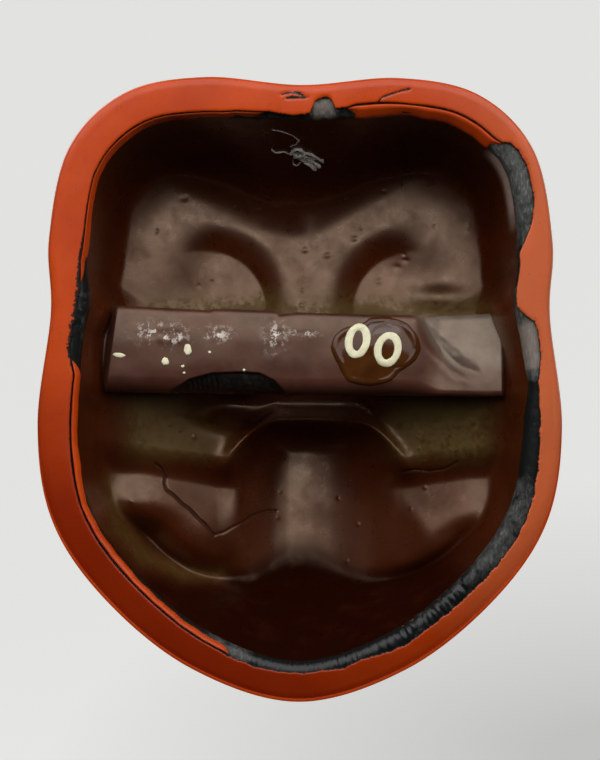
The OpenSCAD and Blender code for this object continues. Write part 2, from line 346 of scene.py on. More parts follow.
def lips(x, z):
    thinnest = 1e-3
    u = x / MOUTH_HALF_WIDTH
    inside = clamp(1 - u * u)
    line = MOUTH_Z + 0.22 * u * u + 0.1 * bell(x / 0.8)
    top = UPPER_LIP * inside**0.7 - 0.28 * bell(x / 0.7) + thinnest
    low = LOWER_LIP * clamp(1 - (x / 4.7) ** 2) ** 0.8 + thinnest
    up = clamp((z - line) / top)
    down = clamp((line - z) / low)
    upper = 0.62 * np.sin(np.pi * up) ** 0.8 * inside
    lower = 0.8 * np.sin(np.pi * down) ** 0.8 * inside
    seam = 0.4 * bell((z - line) / 0.17) * inside**0.5
    return upper + lower - seam


def face_relief(x, z):
    forms = sum(bump(np.abs(x), z, form) for form in FACE_FORMS)
    return forms + nose(x, z) + eyes(x, z) + brows(x, z) + lips(x, z)


def face_depth(rays, radius):
    s = clamp(radius / rays.reach)
    x, z = rays.flat(radius)
    fade = 1 - smooth((s - 0.72) / 0.25)
    dome = COAT_THICKNESS + (FACE_DEPTH - COAT_THICKNESS) * np.sqrt(1 - s**4.2)
    waves = 0.02 * ripple(x, z, 2.6, 4) * smooth((1 - s) / 0.1)
    return dome + fade * face_relief(x, z) + waves


# Hollow

SWELLING_X = 7.3
SWELLING_Z = 3.1
SWELLING_RISE = 1.3
PIT_X = -0.7
PIT_TOP = -4.7
CHEEK_X = 9.2
VALLEY_X = -1.1
VALLEY_Z = 8.02
DENTS = [
    (-11.6, -12.7, 2, 1.3, -1.1),
    (11.7, -13.2, 1.8, 1.4, -1),
    (-5.6, -3.5, 2.2, 1.4, -2.2),
    (9, 3.9, 2.3, 0.95, -0.5),
]


def eye_swellings(w, z):
    """Mounds behind the eyes, steep on their upper inner side and soft elsewhere."""
    dx, dz = np.abs(w) - SWELLING_X, z - SWELLING_Z
    reach = np.hypot(dx, dz)
    turn = np.degrees(np.arctan2(dz, -dx))
    last_turn = np.where(w < 0, 120, 104)
    inner = smooth((turn + 40) / 50) * smooth((last_turn - turn) / 50)
    crown = SWELLING_RISE - 0.25 * (reach / 4.1) ** 2
    flank = 1.05 * (np.maximum(6.5 - reach, 0) / 2.3) ** 2
    steep = soft_min(crown, flank, 0.22)
    soft = 1.29 * bell(reach / 4)
    return inner * steep + (1 - inner) * soft


def pit_edge(w, z):
    """Half width of the pit behind the nose, which widens downwards."""
    up = z - PIT_TOP
    left = 2.5 + 4.2 * (1 - np.exp(up / 3.2))
    right = 3.2 + 5.6 * (1 - np.exp(up / 4.7))
    return left + (right - left) * smooth((w + 2) / 4)


def nose_pit(w, z):
    """Height of the pit behind the nose, as if its walls ran on upwards."""
    off = w - PIT_X
    dish = 2.5 * (1 - np.exp(-np.where(off > 0, 0.045, 0.055) * off**2))
    floor = -0.7 + 0.26 * np.maximum(-5.5 - z, 0) + dish
    side = 2.6 * np.maximum((np.abs(w - 0.1) - 0.5) / (pit_edge(w, z) - 0.5), 0) ** 3
    ledge = 3 * np.maximum((z + 7.7) / 2.6, 0) ** 3
    return floor + np.cbrt(side**3 + ledge**3)


def pit_roll(w, z):
    """Raised roll along the flat top and the upper sides of the pit."""
    past = -soft_min(pit_edge(w, z) - np.abs(w), -5.2 - z, 0.5) - 0.4
    return bell(past / 0.9) * smooth((z + 9.5) / 3)


def cheeks(w, z):
    """Ridges behind the cheeks, which run down towards the mouth, more steeply on the left."""
    turn = np.where(w < 0, 0.58, 0.35)
    out = np.abs(w) - CHEEK_X
    up = z + np.where(w < 0, 12.2, 13)
    across = -np.sin(turn) * out + np.cos(turn) * up
    along = -np.cos(turn) * out - np.sin(turn) * up
    half_width = np.where(across > 0, 3, 1.9)
    return 1.7 * bell(across / half_width) * bell(along / 4.4, 4)


def brow_slopes(w, z):
    """Slopes that rise from a valley above the bar, both down to the bar and up behind the forehead."""
    a = np.abs(w)
    off = w - VALLEY_X
    valley = VALLEY_Z + np.where(off > 0, 0.66, 0.53) * (np.sqrt(off**2 + 5) - 2.24)
    below = valley - (z + 1.5 + np.sqrt((z - 1.5) ** 2 + 1)) / 2
    eased = (0.03 * smooth((a - 2) / 6) + 0.015 * smooth((w - 2) / 5)) * smooth((z + 3) / 5)
    brow = (0.135 - eased) * (below + np.sqrt(below**2 + 9))
    forehead = 0.09 * np.maximum(-below, 0) ** 2
    return brow + forehead + 0.15 * smooth((a - 4) / 7) * smooth((z - 6) / 6)


def ledges(w, z):
    """Ledges beside the bar with a channel between them, and the steps down from them."""
    a = np.abs(w)
    channel = 1 - smooth((a - 1.9) / 4.2)
    plateau = 1.5 * (1 - channel * smooth((z + 6.5) / 3)) * smooth((1 - z) / 4.5)
    step = 1.1 * smooth((-6.2 - 0.15 * (12.5 - a) - z) / 2.4) * smooth((a - 2.5) / 4)
    corner = smooth((-12.8 - z) / 3.2) * smooth((a - 8) / 3)
    return plateau - step - corner


def hollow_rise(x, z):
    """Rise of the hollow's carved floor above its deepest level."""
    w = -x - HOLLOW_SHIFT
    bowl = w**2 * (0.0143 - 0.0083 * smooth((z + 2) / 8))
    dents = sum(bump(w, z, form) for form in DENTS)
    carving = eye_swellings(w, z) + cheeks(w, z) + pit_roll(w, z) + dents
    around = bowl + brow_slopes(w, z) + ledges(w, z) + carving
    return soft_min(around, nose_pit(w, z), 1.8 - 0.8 * smooth((-7.5 - z) / 3))


def hollow_sides(rays, radius):
    """Depth of the hollow's wall and of its floor, and the width of the rounding between them."""
    x, z = rays.flat(radius)
    up = rays.way[:, 1]
    upper = 7 * up**2 * (1 - up**2) - 1.2 * np.abs(up) ** 8
    lower = -2.6 * np.abs(up) ** 5
    slope = 4.2 + np.where(up > 0, upper, lower)
    inset = np.maximum(rays.inset(radius) - rays.hollow_edge, 0)
    near_bar = bell(z / 3.8, 8) * bell(inset / 1.6, 4)
    wall = LIP_DEPTH + (slope + (1.2 - slope) * near_bar) * inset
    cove = smooth((up + 0.2) / 0.4) * bell(inset / 2.5)
    rounding = 2.2 + 2.5 * smooth((up + 0.8) / 0.8) + 3 * smooth((up - 0.4) / 0.6)
    return wall, HOLLOW_DEPTH - hollow_rise(x, z) - cove, rounding


def hollow_depth(rays, radius):
    return soft_min(*hollow_sides(rays, radius))


def hollow_point(rays, u, z):
    """Point of the hollow's surface at (u, z), on the ray that runs nearest to it."""
    flat = np.array([-u, z]) - CENTRE
    i = np.argmax(rays.way @ flat)
    radius = np.full((1, rays.count), np.linalg.norm(flat))
    return rays.points(radius, hollow_depth(rays, radius))[0, i]


def joint_rings(rays, shift):
    """Rings of the hidden joint midway between face and hollow, from the middle outwards."""
    rings, inside = 20, 0.35
    s = ring_shares(rings, 1.6)[:-1]
    radius = s[:, None] * rays.radius(rays.hollow_edge - inside)
    midway = (face_depth(rays, radius) + hollow_depth(rays, radius)) / 2
    return rays.points(radius, midway + shift)


# Bar

# Upper edge of the bar, edge of the broken place on its lower edge, and dent across it, as (u, z)
BAR_TOP = [
    (-15, 2.95), (-11.8, 2.9), (-6.2, 2.72), (-5.9, 2.82), (-4.9, 2.84), (-1.7, 2.76), (-1.4, 2.54),
    (-0.2, 2.72), (4.6, 2.66), (8, 2.7), (8.5, 2.55), (10, 2.72), (13, 2.95),
]
BAR_CHIP = [
    (-9.3, -3.3), (-8.8, -2.8), (-7.5, -1.95), (-6, -1.5), (-4, -1.38), (-2.7, -1.45), (-1.7, -1.95),
    (-1.1, -2.6), (-0.8, -3.3),
]
BAR_FOLD = [(8.35, 2.6), (8.95, 1.3), (9.95, 0.1), (10.9, -0.75), (11.9, -1.1)]

# Width and strength of that dent, as (u, value)
FOLD_WIDTH = [(8.3, 0.26), (9.9, 0.5), (11, 0.55), (12, 0.4)]
FOLD_SHARE = [(8.3, 0.6), (9.6, 1), (11, 1), (12.4, 0.2)]

# Scuffed places, whose silver is partly painted glints, and a low mound beside the dent, as forms
BAR_SCUFFS = [
    (-9.9, 1.1, 1.1, 0.6, 1),
    (-8.6, 0.9, 0.8, 0.6, 1),
    (-5.6, 1.1, 0.8, 0.45, 1),
    (-1.7, 1, 0.6, 0.9, 1),
    (0.2, 1.3, 0.8, 0.25, 0.9),
]
BAR_MOUND = (11.4, 0.7, 1.5, 1, 0.1)

BAR_LOWER_EDGE = -3.05
BAR_SLOPE = 0.0165
RIB_PITCH = 0.34


def bar_edges(u):
    low = BAR_LOWER_EDGE + 0.011 * (u + 13) + 0.03 * ripple(u, 0 * u, 3, 31)
    return read_off(BAR_TOP, u), low


def bar_chip(u, z):
    """Share of the broken place on the lower edge, with its ribs."""
    inside = smooth((read_off(BAR_CHIP, u) - z) / 0.14)
    ribbed = smooth((u + 7.9) / 0.4) * smooth((-4.9 - u) / 0.6)
    ribs = ribbed * np.sin(2 * np.pi * (u + 0.25 * z) / RIB_PITCH)
    return inside, inside * ribs


def bar_fold(u, z):
    """Share of the dent across the right end, narrow at the top and broader towards its foot."""
    width = read_off(FOLD_WIDTH, u) * (1 + 0.15 * ripple(u, z, 0.9, 36))
    return read_off(FOLD_SHARE, u) * stroke(u, z, BAR_FOLD, width)


def bar_scuffs(u, z):
    return clamp(sum(bump(u, z, form) for form in BAR_SCUFFS))


def bar_front(u, z):
    """How far out the front of the bar stands, in the frame."""
    top, low = bar_edges(u)
    right = smooth((u - 7.6) / 2.2)
    y = BAR_FRONT - 0.03 * (z + 1.4) ** 2 - 0.25 * (z + 2.9) * right
    end = np.where(u > 0, 13.7, 12.75 - 0.12 * z)
    y = y - 1.4 * smooth((np.abs(u) - end) / 0.6)
    for gap, corner in ((top - z, 0.4), (z - low, 1.2 - 0.75 * right)):
        over = clamp((corner - gap) / corner)
        y = y - corner * (1 - np.sqrt(1 - over**2))
    chip, ribs = bar_chip(u, z)
    y = y - chip * (0.3 + 0.12 * smooth((-1.6 - z) / 1.2)) + 0.09 * ribs
    y = y - 0.3 * bar_fold(u, z) + 0.09 * stroke(u + 0.7, z + 0.45, BAR_FOLD, 0.5)
    y = y + bump(u, z, BAR_MOUND)
    return y + 0.022 * bar_scuffs(u, z) * ripple(u, z, 0.8, 33) + 0.025 * ripple(u, z, 2.4, 34)


# Varnish

# Edge of the varnish patch as (angle from its middle, distance), anticlockwise from the right
PAD_EDGE = [
    (4, 3.12), (20, 3.1), (42, 2.95), (62, 2.6), (88, 2.35), (100, 2.3), (108, 2.15), (118, 2.1),
    (135, 2.4), (147, 2.73), (160, 3), (175, 3.06), (188, 2.86), (200, 2.7), (211, 2.71), (228, 2.8),
    (247, 2.5), (278, 2.26), (299, 2.25), (319, 2.11), (335, 2.4), (350, 2.84),
]
PAD_MIDDLE = np.array([-PAD_LOW[0] - PAD_HIGH[0], PAD_LOW[2] + PAD_HIGH[2]]) / 2
DROP_U, DROP_Z = 6.3, 0.65


def pad_reach(turn):
    return read_off(PAD_EDGE, np.degrees(turn), period=360)


def pad_rise(u, z):
    """Height of the varnish above the bar, with a second, thicker drop at its right end."""
    du, dz = u - PAD_MIDDLE[0], z - PAD_MIDDLE[1]
    share = np.hypot(du, dz) / pad_reach(np.arctan2(dz, du))
    edge = 0.05 * bell((share - 0.9) / 0.07)
    drop = np.hypot((u - DROP_U) / 1.65, (z - DROP_Z) / 1.5)
    second = 0.05 * smooth((1.06 - drop) / 0.1) + 0.05 * clamp(1 - drop**2)
    crown = 0.05 + 0.1 * clamp(1 - share**2)
    return (crown + edge + second + 0.01 * ripple(u, z, 1.6, 41)) * smooth((1 - share) / 0.05)


# Meshes

def lean(points):
    """Points of the bar and of what lies on it, moved to its sloping place."""
    return points + np.asarray(points)[..., :1] * (0, 0, BAR_SLOPE)


def add_object(name, data):
    made = bpy.data.objects.new(name, data)
    bpy.context.scene.collection.objects.link(made)
    return made


def add_mesh(name, points, faces, material, nodes=(), slot=None, **marks):
    """A piece from points in millimetres, which rides on the part and stands for the CAD nodes."""
    mesh = bpy.data.meshes.new(name)
    mesh.from_pydata((np.asarray(points) * MM).tolist(), [], faces)
    mesh.validate()
    mesh.shade_smooth()
    for mark, values in marks.items():
        attribute = mesh.attributes.new(mark, "FLOAT", "POINT")
        attribute.data.foreach_set("value", np.asarray(values, np.float32).ravel())
    mesh.materials.append(material)
    piece = add_object(name, mesh)
    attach(piece, "root")
    if nodes:
        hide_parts(*nodes)


def skin_faces(rings, n, start=0):
    """Faces of a skin over closed rings of n points, with a tip before the first and after the last."""
    i = np.arange(n)
    j = (i + 1) % n
    first = [(start, start + 1 + a, start + 1 + b) for a, b in zip(i, j)]
    k = start + 1 + n * np.arange(rings - 1)[:, None]
    quads = np.stack([k + i, k + n + i, k + n + j, k + j], -1).reshape(-1, 4)
    tip = start + 1 + n * rings
    last_ring = tip - n
    last = [(last_ring + a, tip, last_ring + b) for a, b in zip(i, j)]
    return first + quads.tolist() + last


def tube_faces(rings, n, start=0, closed=True):
    """Faces of a row of sections, each a loop of n points, that closes on itself or ends in two caps."""
    i = np.arange(n)
    j = (i + 1) % n
    row = np.arange(rings if closed else rings - 1)[:, None]
    k = start + n * row
    m = start + n * ((row + 1) % rings)
    faces = np.stack([k + i, k + j, m + j, m + i], -1).reshape(-1, 4).tolist()
    if not closed:
        faces.append((start + i[::-1]).tolist())
        faces.append((start + n * (rings - 1) + i).tolist())
    return faces


# Materials

# Colours, as linear red, green and blue
DEEP_RED = (0.47, 0.046, 0.0022)
BRIGHT_RED = (0.57, 0.061, 0.0034)
SPECKLED_RED = (0.36, 0.032, 0.004)
# Painted shade and painted sheen for the rim
SHADED_RED = (0.2, 0.008, 0)
SHEEN_RED = (0.62, 0.19, 0.075)
PITTED_RED = (0.12, 0.02, 0.008)
WORN_BLACK = (0.022, 0.014, 0.012)
DEEP_BROWN = (0.034, 0.0054, 0.0006)
LIGHT_BROWN = (0.05, 0.0084, 0.001)
SPECK = (0.2, 0.17, 0.13)
DUST = (0.108, 0.078, 0.021)
# Painted shade for the lower wall of the hollow
SHADE_BROWN = (0.0115, 0.0016, 0.0003)
PALE_EDGE = (0.46, 0.34, 0.29)
CRACK_BLACK = (0.003, 0.002, 0.002)
GROUND_BLACK = (0.005, 0.006, 0.006)
DULL_BLACK = (0.06, 0.062, 0.056)
CHALKY_GREY = (0.19, 0.15, 0.125)
SCRATCH_GREY = (0.27, 0.265, 0.25)
BAR_BROWN = (0.044, 0.0135, 0.0085)
BAR_LIGHT_BROWN = (0.075, 0.025, 0.016)
# Painted sheen for the upper right end of the bar
SHEEN_BROWN = (0.185, 0.145, 0.115)
# Scuffs on the bar, partly painted glints
SCUFF_GLINT_SILVER = (0.62, 0.57, 0.52)
# Bare black core of the broken place, also used as painted shade in the dent
BARE_AND_SHADE_BLACK = (0.004, 0.004, 0.004)
BARE_AND_SHADE_GREY = (0.016, 0.015, 0.014)
VARNISH_DARK = (0.047, 0.013, 0.0025)
VARNISH_LIGHT = (0.073, 0.023, 0.0045)
LIGHT_CREAM = (0.84, 0.8, 0.55)
DARK_CREAM = (0.72, 0.67, 0.44)
LIGHT_LINT = (0.93, 0.9, 0.84)
DARK_LINT = (0.55, 0.5, 0.42)


class Look:
    """A node material with short helpers for its textures."""

    def __init__(self, name):
        self.material = bpy.data.materials.new(name)
        self.material.use_nodes = True
        self.tree = self.material.node_tree
        self.shader = self.tree.nodes["Principled BSDF"]
        self.place = self.tree.nodes.new("ShaderNodeTexCoord").outputs["Object"]
        self.tone = None

    def feed(self, socket, source):
        """Links another node to a socket, or sets the socket's own value."""
        if isinstance(source, bpy.types.NodeSocket):
            self.tree.links.new(source, socket)
        else:
            socket.default_value = source

    def node(self, kind, links, **values):
        made = self.tree.nodes.new(kind)
        for key, value in values.items():
            setattr(made, key, value)
        for socket, source in links.items():
            self.feed(made.inputs[socket], source)
        return made

    def noise(self, size, detail=4, rough=0.55, stretch=(1, 1, 1)):
        """Noise with features of about this size in millimetres."""
        scaled = self.node("ShaderNodeVectorMath", {0: self.place, 1: stretch}, operation="MULTIPLY")
        inputs = {"Vector": scaled.outputs[0], "Scale": 1 / (size * MM), "Detail": detail}
        return self.node("ShaderNodeTexNoise", {**inputs, "Roughness": rough}).outputs["Fac"]

    def mark(self, name):
        return self.node("ShaderNodeAttribute", {}, attribute_name=name).outputs["Fac"]

    def ramp(self, source, low, high, bottom=0, top=1):
        limits = {"From Min": low, "From Max": high, "To Min": bottom, "To Max": top}
        return self.node("ShaderNodeMapRange", {"Value": source, **limits}).outputs["Result"]

    def clouds(self, size, detail=5, rough=0.55):
        """Soft patches of about this size in millimetres."""
        return self.ramp(self.noise(size, detail, rough), 0.35, 0.65)

    def gloss(self, bottom, top, size, detail=5, rough=0.55):
        """Roughness that varies between two values."""
        return self.ramp(self.noise(size, detail, rough), 0.3, 0.7, bottom, top)

    def math(self, operation, a, b):
        return self.node("ShaderNodeMath", {0: a, 1: b}, operation=operation).outputs[0]

    def times(self, a, b):
        return self.math("MULTIPLY", a, b)

    def blend(self, share, a, b):
        first, second, result = 6, 7, 2
        mixer = self.node("ShaderNodeMix", {0: share}, data_type="RGBA")
        for socket, colour in ((first, a), (second, b)):
            self.feed(mixer.inputs[socket], (*colour, 1) if isinstance(colour, tuple) else colour)
        return mixer.outputs[result]

    def paint(self, share, colour):
        """Lays a colour over what is painted so far."""
        self.tone = self.blend(share, self.tone, colour)

    def bump(self, height, depth, strength):
        inputs = {"Height": height, "Distance": depth * MM, "Strength": strength}
        return self.node("ShaderNodeBump", inputs).outputs["Normal"]

    def set(self, **values):
        for key, value in values.items():
            self.feed(self.shader.inputs[key.replace("_", " ")], value)
        return self.material


def red_lacquer():
    look = Look("red_lacquer")
    look.tone = look.blend(look.clouds(5), DEEP_RED, BRIGHT_RED)
    look.paint(look.ramp(look.noise(0.5, 6), 0.55, 0.75, 0, 0.3), SPECKLED_RED)
    # Painted shade darkens the lower left of the rim and painted sheen pales its right side
    look.paint(look.mark("dim"), SHADED_RED)
    look.paint(look.mark("pale"), SHEEN_RED)
    grain = look.ramp(look.noise(0.25, 6, 0.7), 0.3, 0.7)
    worn = look.math("GREATER_THAN", look.mark("worn"), grain)
    look.paint(worn, WORN_BLACK)
    pits = look.ramp(look.noise(0.22, 2), 0.72, 0.77)
    look.paint(look.times(pits, 0.7), PITTED_RED)
    height = look.math("SUBTRACT", look.noise(0.9, 5), look.times(pits, 0.5))
    return look.set(Base_Color=look.tone, Roughness=look.gloss(0.26, 0.4, 1.2, 6, 0.65),
                    Normal=look.bump(height, 0.02, 0.4), Specular_IOR_Level=0.4)


def brown_lacquer():
    look = Look("brown_lacquer")
    look.tone = look.blend(look.clouds(3.5), DEEP_BROWN, LIGHT_BROWN)
    speck = look.ramp(look.noise(0.16, 2), 0.72, 0.79)
    look.paint(look.times(speck, 0.4), SPECK)
    # Dust, which along the lower crease also stands in for a painted highlight
    dusty = look.ramp(look.noise(0.5, 7, 0.7), 0.25, 0.6)
    dust = look.times(look.mark("dust"), dusty)
    look.paint(dust, DUST)
    # Painted shade over the lower wall of the hollow and its crease, which also dims the gloss there
    shade_patches = look.ramp(look.noise(1.5, 5), 0.2, 0.5, 0.8, 1)
    painted_shade = look.times(look.mark("painted_shade"), shade_patches)
    look.paint(painted_shade, SHADE_BROWN)
    patchy = look.ramp(look.noise(0.5, 5), 0.2, 0.5, 0.5, 1)
    look.paint(look.times(look.mark("pale"), patchy), PALE_EDGE)
    crack = look.mark("crack")
    look.paint(crack, CRACK_BLACK)
    gloss = look.gloss(0.24, 0.38, 1.1, 7, 0.65)
    dull = look.math("MAXIMUM", gloss, look.times(dust, 0.85))
    cloudy = look.ramp(look.noise(2.2, 7, 0.62), 0.46, 0.68, 0, 0.35)
    matt = look.math("MAXIMUM", look.math("MAXIMUM", dust, painted_shade), cloudy)
    height = look.math("ADD", look.noise(0.6, 5, 0.55), look.times(speck, 0.5))
    return look.set(Base_Color=look.tone, Roughness=look.math("MAXIMUM", dull, crack),
                    Normal=look.bump(height, 0.012, 0.5), Specular_Tint=(1, 0.7, 0.5, 1), IOR=1.55,
                    Specular_IOR_Level=look.ramp(matt, 0, 1, 1, 0.1))


def black_ground():
    look = Look("black_ground")
    patches = look.ramp(look.noise(0.7, 6, 0.7), 0.35, 0.65, -0.25, 0.25)
    grey = look.ramp(look.math("ADD", look.mark("grey"), patches), 0.3, 0.9)
    look.tone = look.blend(grey, GROUND_BLACK, DULL_BLACK)
    look.paint(look.ramp(look.mark("grey"), 0.85, 1), CHALKY_GREY)
    scratch = look.ramp(look.noise(0.14, 4, 0.7, stretch=(1, 1, 0.25)), 0.48, 0.72, 0, 0.75)
    look.paint(look.times(scratch, grey), SCRATCH_GREY)
    height = look.math("ADD", look.noise(0.3, 6, 0.7), look.noise(0.08, 3))
    return look.set(Base_Color=look.tone, Roughness=look.ramp(grey, 0, 1, 0.3, 0.6),
                    Normal=look.bump(height, 0.02, 0.6))


def bar_lacquer():
    look = Look("bar_lacquer")
    look.tone = look.blend(look.clouds(3), BAR_BROWN, BAR_LIGHT_BROWN)
    # Painted sheen lightens the upper right end of the bar
    patchy = look.ramp(look.noise(1.6, 6, 0.65), 0.3, 0.62, 0.55, 1)
    look.paint(look.times(look.mark("dull"), patchy), SHEEN_BROWN)
    # Scuffs painted silver, partly as painted glints
    scuffed = look.ramp(look.noise(0.5, 5, 0.72), 0.53, 0.59)
    look.paint(look.times(look.mark("scuff"), scuffed), SCUFF_GLINT_SILVER)
    # Bare black core in the broken place, and painted shade along the dent
    bare = look.mark("bare")
    bare_and_shade = look.blend(look.ramp(look.noise(0.3, 6), 0.4, 0.7), BARE_AND_SHADE_BLACK, BARE_AND_SHADE_GREY)
    look.paint(bare, bare_and_shade)
    gloss = look.gloss(0.28, 0.44, 0.9, 7, 0.65)
    rough = look.math("SUBTRACT", gloss, look.times(bare, 0.1))
    return look.set(Base_Color=look.tone, Roughness=rough,
                    Normal=look.bump(look.noise(0.4, 6, 0.6), 0.014, 0.5),
                    Specular_Tint=(1, 0.78, 0.6, 1), IOR=1.6, Specular_IOR_Level=0.72)


def clear_varnish():
    look = Look("clear_varnish")
    return look.set(Base_Color=look.blend(look.clouds(1.4), VARNISH_DARK, VARNISH_LIGHT),
                    Roughness=look.gloss(0.06, 0.16, 0.6),
                    Normal=look.bump(look.noise(0.7, 4), 0.012, 0.4))


def cream_paint():
    look = Look("cream_paint")
    look.tone = look.blend(look.ramp(look.noise(0.4, 6), 0.4, 0.7), LIGHT_CREAM, DARK_CREAM)
    return look.set(Base_Color=look.tone, Roughness=look.gloss(0.35, 0.6, 0.3),
                    Normal=look.bump(look.noise(0.2, 5), 0.02, 0.5))


def lint():
    look = Look("lint")
    return look.set(Base_Color=look.blend(look.clouds(0.25, 6, 0.7), LIGHT_LINT, DARK_LINT),
                    Sheen_Weight=0.8, Roughness=look.gloss(0.6, 0.95, 0.1, 4),
                    Normal=look.bump(look.noise(0.06, 5), 0.05, 0.8))


RED_LOOK = red_lacquer()
CREAM_LOOK = cream_paint()


# Pieces

def make_shell():
    """Face on the front, and a hidden back that the rim and the lining cover."""
    rays = Rays(420)
    rings = 250
    radius = ring_shares(rings, 1.6)[:, None] * rays.reach
    face = rays.points(radius, face_depth(rays, radius))
    under_rim = ((0.3, 0.8), (1.7, 0.8), (1.9, 1.9), (2.2, 2.1))
    back = [rays.ring(inset, depth) for inset, depth in under_rim]
    back = np.vstack([back, joint_rings(rays, 0.2)[::-1]])
    middle = rays.points(0 * rays.reach, face_depth(rays, radius * 0)[:1])[0, :1]
    points = join(middle, face, back, back[-1].mean(0))
    x, z = rays.flat(radius)
    sides = ((0.5, 0), (-0.5, 0), (0, 0.5), (0, -0.5))
    around = sum(face_relief(x + dx, z + dz) for dx, dz in sides) / len(sides)
    worn = 0.25 * smooth((face_relief(x, z) - around) / 0.12)
    worn = np.concatenate([[0], worn.ravel(), np.zeros(len(back) * rays.count + 1)])
    faces = skin_faces(rings + len(back), rays.count)
    add_mesh("carved_shell", points, faces, RED_LOOK, ["mask_shell"], "red_lacquer", worn=worn)


def rim_fall(rays, inset):
    """How far the lower rim falls away towards its outer edge."""
    return 0.33 * smooth((-rays.way[:, 1] + 0.4) / 1.1) * np.clip(2.0 - inset, 0, 1.8)


def make_rim():
    """Red coat, rounded outside, flat on top and broken off at its inner edge."""
    rays = Rays(1400)
    broken = 0.05 * rays.waves(0.9, 2) + 0.03 * rays.waves(0.3, 3)
    edge = rays.read(COAT_EDGE) + rays.read(COAT_BROKEN) * broken
    flat_from, flat_to = 0.6, edge - 0.16
    section = [(0, 0.95), (0, 0.5), (0.03, 0.3), (0.1, 0.15), (0.22, 0.06), (0.42, 0.015)]
    section.append((flat_from, 0))
    for t in np.linspace(0, 1, 20)[1:]:
        section.append((flat_from + (flat_to - flat_from) * t, 0.03 * t**3))
    for back, depth in ((0.09, 0.05), (0.04, 0.1), (0.01, 0.17), (0, 0.28), (0.03, 0.5), (0.3, 0.9)):
        section.append((edge - back, depth))
    loops = np.stack([rays.ring(inset, depth + rim_fall(rays, inset)) for inset, depth in section], 1)
    u, z = -loops[..., 0], loops[..., 2]
    crack = stroke(u, z, RIM_CRACK, 0.07)
    for path in RIM_SCRATCHES:
        crack = np.maximum(crack, 0.8 * stroke(u, z, path, 0.09))
    loops[..., 1] -= 0.07 * crack
    wear = rays.read(COAT_WEAR)
    worn = np.stack([0.9 * smooth((inset - edge + wear) / wear) for inset, _ in section], 1)
    worn = clamp(worn + crack + bump(u, z, RIM_RUBBED))
    # Painted shade on the lower left of the rim and painted sheen on its right side
    dim = np.repeat(rays.read(COAT_SHADE), len(section))
    pale = np.repeat(rays.read(COAT_SHEEN), len(section))
    faces = tube_faces(rays.count, len(section))
    add_mesh("rim_lacquer", join(loops), faces, RED_LOOK, ["rim_coat"], "red_lacquer",
             worn=worn, dim=dim, pale=pale)


def make_ground():
    """Black ground under the coats, crumbled and ribbed where it is bare."""
    rays = Rays(1400)
    outer, drawn_width, overlap = 0.7, 1.96, 0.69
    crumbs = rays.read(GROUND_CRUMBS)
    ribs = 0.06 * np.sin(2 * np.pi * rays.along / 0.38) * rays.read(GROUND_RIBS)
    hidden_start = [(outer, 0.7), (0.8, 0.36)]
    bare = [(1, 0.31), (1.3, 0.3), (1.6, 0.3), (1.9, 0.33), (2.2, 0.42), (2.45, 0.6), (2.62, 0.9)]
    hidden_end = [(2.66, 1.4), (2.2, 1.7), (0.9, 1.7)]
    section = hidden_start + bare + hidden_end
    loops = []
    for k, (drawn, depth) in enumerate(section):
        inset = outer + (drawn - outer) * (rays.hollow_edge - overlap) / drawn_width
        drop = depth + rim_fall(rays, drawn)
        if (drawn, depth) in bare:
            rough = crumbs * rays.waves(0.7, 10 + k, k) + ribs * (drawn > 1.6)
            inset = inset + 0.6 * rough
            drop = drop + np.abs(rough)
        loops.append(rays.ring(inset, drop))
    grey = np.repeat(rays.read(GROUND_GREY), len(section))
    faces = tube_faces(rays.count, len(section))
    add_mesh("black_ground", join(np.stack(loops, 1)), faces, black_ground(), ["ground_layer"],
             "black_ground", grey=grey)


def make_lip():
    rays = Rays(1800)
    edge = rays.read(COAT_EDGE)
    order = np.argsort(rays.clock)
    wave = rays.waves(4.5, 21) + 0.4 * rays.waves(1.2, 22)
    points, faces = [], []
    for first, last, gap, width, high, low in LIPS:
        on = order[(rays.clock[order] >= first) & (rays.clock[order] <= last)]
        ends = smooth((rays.clock - first) / 2.5) * smooth((last - rays.clock) / 2.5)
        outside = edge + gap * (1 + 0.4 * wave)
        across = width * (np.sqrt(ends) + 0.02) * (1 + 0.1 * wave)
        top = [(0, 1), (0, high + 0.12), (0.12, high), (0.4, high + 0.3 * (low - high))]
        section = top + [(0.8, low), (1, low + 0.2), (1, low + 0.5), (0.6, 1.5), (0.2, 1.5)]
        loops = [rays.ring(outside + share * across, depth)[on] for share, depth in section]
        faces += tube_faces(len(on), len(section), sum(map(len, points)), closed=False)
        points.append(join(np.stack(loops, 1)))
    add_mesh("red_lip", join(*points), faces, RED_LOOK, ["inner_lip"], "red_lacquer")


def lining_marks(rays, radius):
    """Shares of dust, partly a painted highlight along the lower crease, of painted shade over the lower
    wall, and of rubbed paleness at the edge, on the lining.
    """
    x, z = rays.flat(radius)
    u = -x
    a = np.abs(u - HOLLOW_SHIFT)
    ledge = smooth(-2.6 - z) * smooth((z + 8.2) / 1.8) * smooth((a - 3.6) / 4) * smooth((13.6 - a) / 2.5)
    ledge = ledge * (1 - bump(u, z, CLEAN_SPOT))
    above_bar = smooth((5.4 - z) / 2.4) * smooth((z - 2.2) / 0.4) * smooth((13 - a) / 2)
    # Dust along the lower crease, which also stands in for a painted highlight of that crease
    line = stroke(u, z, DUST_AND_HIGHLIGHT_LINE, 0.6)
    dust = clamp(0.8 * ledge + 0.7 * above_bar + 0.4 * line)
    wall, floor, _ = hollow_sides(rays, radius)
    # Painted shade over the lower wall and the crease at its foot
    painted_shade = smooth((floor - wall + 4.2) / 3.6) * smooth((-0.45 - rays.way[:, 1]) / 0.35) * (1 - line)
    rim_edge = bell((rays.inset(radius) - rays.hollow_edge) / 0.28, 4)
    return {"dust": dust, "painted_shade": painted_shade, "pale": rim_edge * rays.read(EDGE_PALE)}


